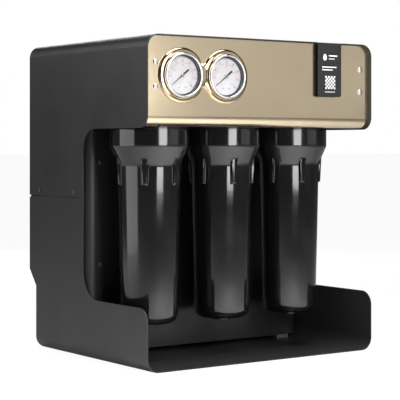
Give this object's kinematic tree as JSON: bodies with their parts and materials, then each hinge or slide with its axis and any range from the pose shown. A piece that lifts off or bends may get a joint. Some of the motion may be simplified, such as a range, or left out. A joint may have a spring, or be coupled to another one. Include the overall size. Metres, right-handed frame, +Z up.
{
  "type": "reverse osmosis unit",
  "caption": "Counter-top reverse osmosis water unit: folded black cabinet with a gold fascia, pressure gauges and hanging screw-on filter bowls.",
  "frame": {"origin": "centre of the cabinet's footprint, on the surface it stands on", "axes": "+X to the unit's right as seen from the front, +Y to the back, +Z up"},
  "size_m": [0.4446, 0.3617, 0.5],
  "materials": {
    "black_shell": "black satin powder coat",
    "galvanised": "zinc-plated",
    "gold_sheet": "polished champagne gold",
    "gold_trim": "polished champagne gold",
    "bright_screw": "bright",
    "dark_screw": "dark zinc",
    "fitting_plastic": "moulded white",
    "motor_paint": "black paint",
    "pump_plastic": "moulded black",
    "rubber": "matt",
    "supply_metal": "satin",
    "black_plastic": "moulded black",
    "rocker_plastic": "moulded black",
    "chrome_bezel": "polished",
    "gauge_black": "black",
    "gauge_glass": "clear",
    "gauge_dial": "white, printed",
    "gauge_needle": "black",
    "bowl_black": "glossy black",
    "head_black": "moulded black",
    "seal_rubber": "matt",
    "element_white": "melt-blown white",
    "collet_grey": "moulded grey",
    "tube_white": "extruded white"
  },
  "bodies": {
    "cabinet": {"cabinet_screws": "dark_screw", "fascia_screws": "bright_screw", "flow_restrictor": "fitting_plastic", "front_fascia": "gold_sheet", "gauge_bezel_left": "chrome_bezel", "gauge_bezel_right": "chrome_bezel", "gauge_case_left": "gauge_black", "gauge_case_right": "gauge_black", "gauge_clamps": "galvanised", "gauge_dial_left": "gauge_dial", "gauge_dial_right": "gauge_dial", "gauge_lens_left": "gauge_glass", "gauge_lens_right": "gauge_glass", "gauge_trim": "gold_trim", "head_membrane": "head_black", "head_postfilter": "head_black", "head_prefilter": "head_black", "head_screws": "galvanised", "header_floor": "black_shell", "inlet_valve": "fitting_plastic", "inner_frame": "galvanised", "lower_shell": "black_shell", "mains_inlet": "black_plastic", "power_supply": "supply_metal", "pressure_switch": "fitting_plastic", "pump_bracket": "galvanised", "pump_head": "pump_plastic", "pump_motor": "motor_paint", "pump_mounts": "rubber", "push_fittings": "fitting_plastic", "rear_cover": "black_shell", "rear_ports": "fitting_plastic", "recess_panel": "black_shell", "seam_straps": "black_shell", "tube_drain": "tube_white", "tube_feed": "tube_white", "tube_gauge_left": "tube_white", "tube_gauge_right": "tube_white", "tube_permeate": "tube_white", "tube_pressure": "tube_white", "tube_product": "tube_white", "tube_raw": "tube_white", "tube_suction": "tube_white", "upper_shell": "black_shell"},
    "pointer_left": {"gauge_pointer_left": "gauge_needle"},
    "pointer_right": {"gauge_pointer_right": "gauge_needle"},
    "carriage_prefilter": {"element_prefilter": "element_white", "seal_prefilter": "seal_rubber"},
    "bowl_prefilter": {"bowl_prefilter": "bowl_black"},
    "carriage_membrane": {"element_membrane": "element_white", "seal_membrane": "seal_rubber"},
    "bowl_membrane": {"bowl_membrane": "bowl_black"},
    "carriage_postfilter": {"element_postfilter": "element_white", "seal_postfilter": "seal_rubber"},
    "bowl_postfilter": {"bowl_postfilter": "bowl_black"},
    "collet_feed": {"collet_feed": "collet_grey"},
    "collet_drain": {"collet_drain": "collet_grey"},
    "collet_product": {"collet_product": "collet_grey"},
    "rocker": {"rocker_switch": "rocker_plastic"},
    "rotor": {"pump_rotor": "galvanised"}
  },
  "joints": [
    {"name": "pointer_left_turn", "type": "hinge", "parent": "cabinet", "child": "pointer_left", "pos_m": [-0.155, -0.172, 0.44], "axis": [0, 1, 0], "range_deg": [0, 262], "stiffness_Nm_per_rad": 0.0002},
    {"name": "pointer_right_turn", "type": "hinge", "parent": "cabinet", "child": "pointer_right", "pos_m": [-0.074, -0.172, 0.44], "axis": [0, 1, 0], "range_deg": [0, 262], "stiffness_Nm_per_rad": 0.0002},
    {"name": "bowl_prefilter_drop", "type": "slide", "parent": "cabinet", "child": "carriage_prefilter", "axis": [0, 0, -1], "range_m": [0, 0.02]},
    {"name": "bowl_prefilter_unscrew", "type": "hinge", "parent": "carriage_prefilter", "child": "bowl_prefilter", "pos_m": [-0.14, -0.0623, 0.36], "axis": [0, 0, -1], "range_deg": [0, 1440]},
    {"name": "bowl_membrane_drop", "type": "slide", "parent": "cabinet", "child": "carriage_membrane", "axis": [0, 0, -1], "range_m": [0, 0.02]},
    {"name": "bowl_membrane_unscrew", "type": "hinge", "parent": "carriage_membrane", "child": "bowl_membrane", "pos_m": [0, -0.0623, 0.36], "axis": [0, 0, -1], "range_deg": [0, 1440]},
    {"name": "bowl_postfilter_drop", "type": "slide", "parent": "cabinet", "child": "carriage_postfilter", "axis": [0, 0, -1], "range_m": [0, 0.02]},
    {"name": "bowl_postfilter_unscrew", "type": "hinge", "parent": "carriage_postfilter", "child": "bowl_postfilter", "pos_m": [0.14, -0.0623, 0.36], "axis": [0, 0, -1], "range_deg": [0, 1440]},
    {"name": "collet_feed_press", "type": "slide", "parent": "cabinet", "child": "collet_feed", "axis": [0, -1, 0], "range_m": [0, 0.0015], "stiffness_N_per_m": 400},
    {"name": "collet_drain_press", "type": "slide", "parent": "cabinet", "child": "collet_drain", "axis": [0, -1, 0], "range_m": [0, 0.0015], "stiffness_N_per_m": 400},
    {"name": "collet_product_press", "type": "slide", "parent": "cabinet", "child": "collet_product", "axis": [0, -1, 0], "range_m": [0, 0.0015], "stiffness_N_per_m": 400},
    {"name": "rocker_tilt", "type": "hinge", "parent": "cabinet", "child": "rocker", "pos_m": [0.149, 0.1555, 0.055], "axis": [1, 0, 0], "range_deg": [0, 18]},
    {"name": "rotor_spin", "type": "hinge", "parent": "cabinet", "child": "rotor", "pos_m": [-0.06, 0.07, 0.062], "axis": [1, 0, 0], "continuous": true}
  ],
  "couplings": [
    {"joint": "bowl_prefilter_drop", "follows": "bowl_prefilter_unscrew", "m_per_rad": 0.00079577},
    {"joint": "bowl_membrane_drop", "follows": "bowl_membrane_unscrew", "m_per_rad": 0.00079577},
    {"joint": "bowl_postfilter_drop", "follows": "bowl_postfilter_unscrew", "m_per_rad": 0.00079577}
  ]
}
